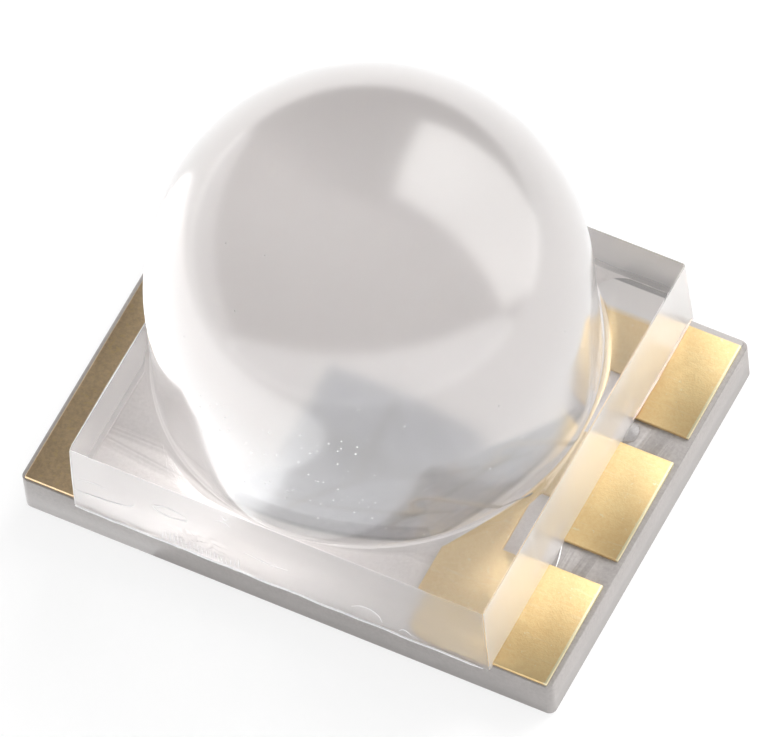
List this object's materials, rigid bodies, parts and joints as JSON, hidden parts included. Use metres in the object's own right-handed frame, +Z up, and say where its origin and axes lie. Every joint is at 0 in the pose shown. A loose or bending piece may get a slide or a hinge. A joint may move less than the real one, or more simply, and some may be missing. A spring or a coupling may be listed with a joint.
{
  "type": "smd infrared led",
  "caption": "Surface mount infrared emitter: a plated ceramic plate with solder pads underneath and a tall clear silicone lens moulded over its die.",
  "frame": {"origin": "centre of the underside of the solder pads, where the board's surface lies", "axes": "+Z up along the lens's axis and the light's way out, +X towards the three-finger pad, +Y towards the back cut face"},
  "size_m": [0.0046, 0.0036, 0.0039],
  "materials": {
    "ceramic": "pale grey sintered ceramic, matt, with sawn edges",
    "strip_gold": "rough plated gold, dark and speckled",
    "finger_gold": "satin plated gold, lightly scuffed",
    "via_copper": "plated copper fill",
    "solder_pad_gold": "satin plated gold",
    "die_solder": "dull solder",
    "emitter_die": "dark polished semiconductor",
    "contact_gold": "fine gold film",
    "wire_gold": "bright drawn gold",
    "silicone": "clear, slightly milky silicone rubber, smooth from the mould and torn on its cut faces"
  },
  "bodies": {
    "root": {"ceramic_plate": "ceramic", "strip_pad": "strip_gold", "finger_pad": "finger_gold", "strip_vias": "via_copper", "finger_vias": "via_copper", "strip_solder_pad": "solder_pad_gold", "thermal_solder_pad": "solder_pad_gold", "finger_solder_pad": "solder_pad_gold", "die_solder": "die_solder", "infrared_die": "emitter_die", "die_contact": "contact_gold", "front_bond_wire": "wire_gold", "back_bond_wire": "wire_gold", "silicone_lens": "silicone"}
  },
  "joints": []
}
